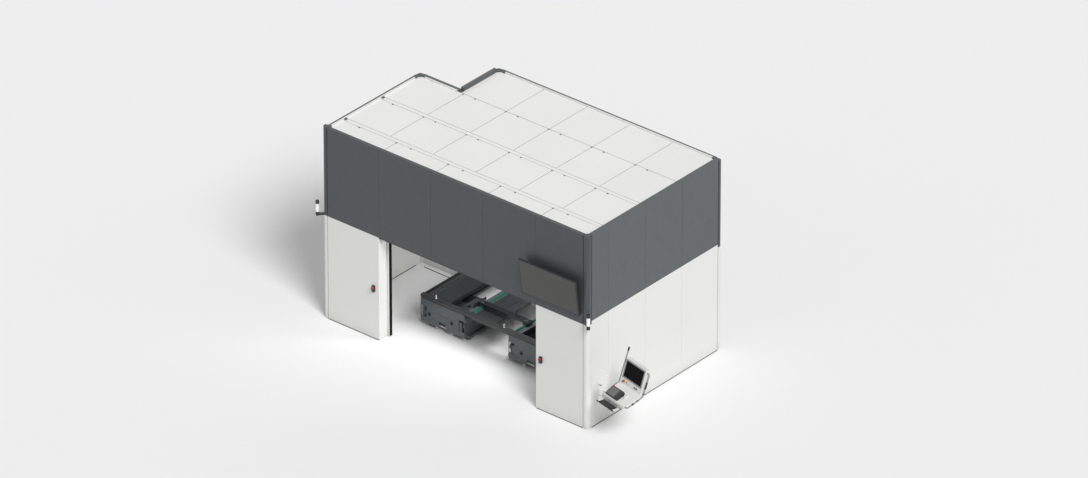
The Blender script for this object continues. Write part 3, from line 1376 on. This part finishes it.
class LASER_OT_stage(bpy.types.Operator):
    """Set the floor, light and camera"""

    bl_idname = "laser.stage"
    bl_label = "Stage"

    def execute(self, context):
        look = context.scene.laser_stage
        self.make_floor(look)
        self.make_light(look)
        self.make_camera(look)
        context.scene.view_settings.view_transform = "Standard"
        return {"FINISHED"}

    def place_object(self, name, data, spot=(0, 0, 0), facing_way=None):
        """Put a floor, lamp or camera into the scene, looking one way."""
        made = bpy.data.objects.new(name, data)
        made.location = spot
        if facing_way is not None:
            made.rotation_mode = "QUATERNION"
            made.rotation_quaternion = Vector(facing_way).to_track_quat("-Z", "Y")
        bpy.context.scene.collection.objects.link(made)
        return made

    def make_floor(self, look):
        """Lay a wide pale floor under the machine."""
        half, drop = 400.0, 0.002
        bm = bmesh.new()
        bmesh.ops.create_grid(
            bm, x_segments=1, y_segments=1, size=half, matrix=Matrix.Translation((0, 0, -drop))
        )
        mesh = bpy.data.meshes.new("studio_floor")
        bm.to_mesh(mesh)
        bm.free()
        material, tree, shader, place = start_material("studio_floor")
        base = coat_colour(tree, noise_node(tree, place, 0.15, 2.0), look.floor_colour, 0.01)
        tree.links.new(base, shader.inputs["Base Color"])
        shader.inputs["Roughness"].default_value = 0.9
        shader.inputs["Specular IOR Level"].default_value = 0.1
        mesh.materials.append(material)
        floor = self.place_object("studio_floor", mesh)

    def make_light(self, look):
        """Light the machine evenly, with one soft key from the front right and a work lamp inside."""
        self.make_sky(look)
        sun = bpy.data.lights.new("key_sun", "SUN")
        sun.energy = look.sun_strength
        sun.angle = look.sun_angle
        self.place_object("key_sun", sun, (12.0, -6.0, 20.0), (-0.625, 0.3, -0.72))
        panel = bpy.data.lights.new("work_light", "AREA")
        panel.shape = "RECTANGLE"
        panel.size, panel.size_y = 1.6, 1.4
        panel.energy = look.work_light
        spot = (3.6, 1.6, ROOF_LOW.z - 1.1)
        lamp = self.place_object("work_light", panel, spot, (-0.62, 0.32, -0.72))
        lamp.visible_camera = False

    def make_sky(self, look):
        """Light evenly from all round, and show the backdrop to the camera and in metal and glass."""
        world = bpy.data.worlds.new("studio_sky")
        bpy.context.scene.world = world
        world.use_nodes = True
        tree = world.node_tree
        sky = tree.nodes["Background"]
        sky.inputs["Color"].default_value = WHITE
        sky.inputs["Strength"].default_value = look.sky_strength
        seen = tree.nodes.new("ShaderNodeBackground")
        seen.inputs["Color"].default_value = (*look.backdrop, 1.0)
        path = tree.nodes.new("ShaderNodeLightPath")
        direct = path.outputs["Is Camera Ray"]
        for ray in ("Is Glossy Ray", "Is Transmission Ray"):
            direct = math_node(tree, "MAXIMUM", direct, path.outputs[ray])
        mix = tree.nodes.new("ShaderNodeMixShader")
        tree.links.new(direct, mix.inputs["Fac"])
        tree.links.new(sky.outputs["Background"], mix.inputs[1])
        tree.links.new(seen.outputs["Background"], mix.inputs[2])
        tree.links.new(mix.outputs["Shader"], tree.nodes["World Output"].inputs["Surface"])

    def make_camera(self, look):
        """Stand a long lens at the viewing angle of the reference picture."""
        aim = Vector((3.427, 2.05, 2.0))
        turn, rise = look.camera_turn, look.camera_rise
        flat = math.cos(rise)
        away = Vector((math.sin(turn) * flat, -math.cos(turn) * flat, math.sin(rise)))
        data = bpy.data.cameras.new("picture_camera")
        data.lens = 400.0
        data.sensor_width = 36.0
        data.clip_start = 1.0
        data.clip_end = 2000.0
        camera = self.place_object("picture_camera", data, aim + away * look.camera_distance, -away)
        bpy.context.scene.camera = camera


class LASER_PT_finish(bpy.types.Panel):
    """List the finishing steps of the machine"""

    bl_idname = "LASER_PT_finish"
    bl_label = "Laser Machine"
    bl_space_type = "VIEW_3D"
    bl_region_type = "UI"
    bl_category = "Laser Machine"

    def draw(self, context):
        for step in STEPS:
            self.layout.operator(step.bl_idname)


STEPS = (
    LASER_OT_cabin_paint,
    LASER_OT_roof_fixings,
    LASER_OT_roof_flashing,
    LASER_OT_wall_gaskets,
    LASER_OT_cabin_fittings,
    LASER_OT_bed_finish,
    LASER_OT_bed_fittings,
    LASER_OT_drawer_fittings,
    LASER_OT_axes_finish,
    LASER_OT_controls_finish,
    LASER_OT_keyboard_fittings,
    LASER_OT_console_fittings,
    LASER_OT_display_fittings,
    LASER_OT_stage,
)
SETTINGS = {
    "laser_cabin": LaserCabinLook,
    "laser_bed": LaserBedLook,
    "laser_console": LaserConsoleLook,
    "laser_stage": LaserStageLook,
}


def register():
    """Register the settings, steps and panel."""
    for name, group in SETTINGS.items():
        bpy.utils.register_class(group)
        setattr(bpy.types.Scene, name, bpy.props.PointerProperty(type=group))
    for step in (*STEPS, LASER_PT_finish):
        bpy.utils.register_class(step)


def unregister():
    """Remove the settings, steps and panel."""
    for step in (LASER_PT_finish, *reversed(STEPS)):
        bpy.utils.unregister_class(step)
    for name, group in reversed(SETTINGS.items()):
        delattr(bpy.types.Scene, name)
        bpy.utils.unregister_class(group)


def main():
    """Finish the machine step by step and note its size."""
    register()
    for step in STEPS:
        group, name = step.bl_idname.split(".")
        getattr(getattr(bpy.ops, group), name)()


if __name__ == "__main__":
    main()
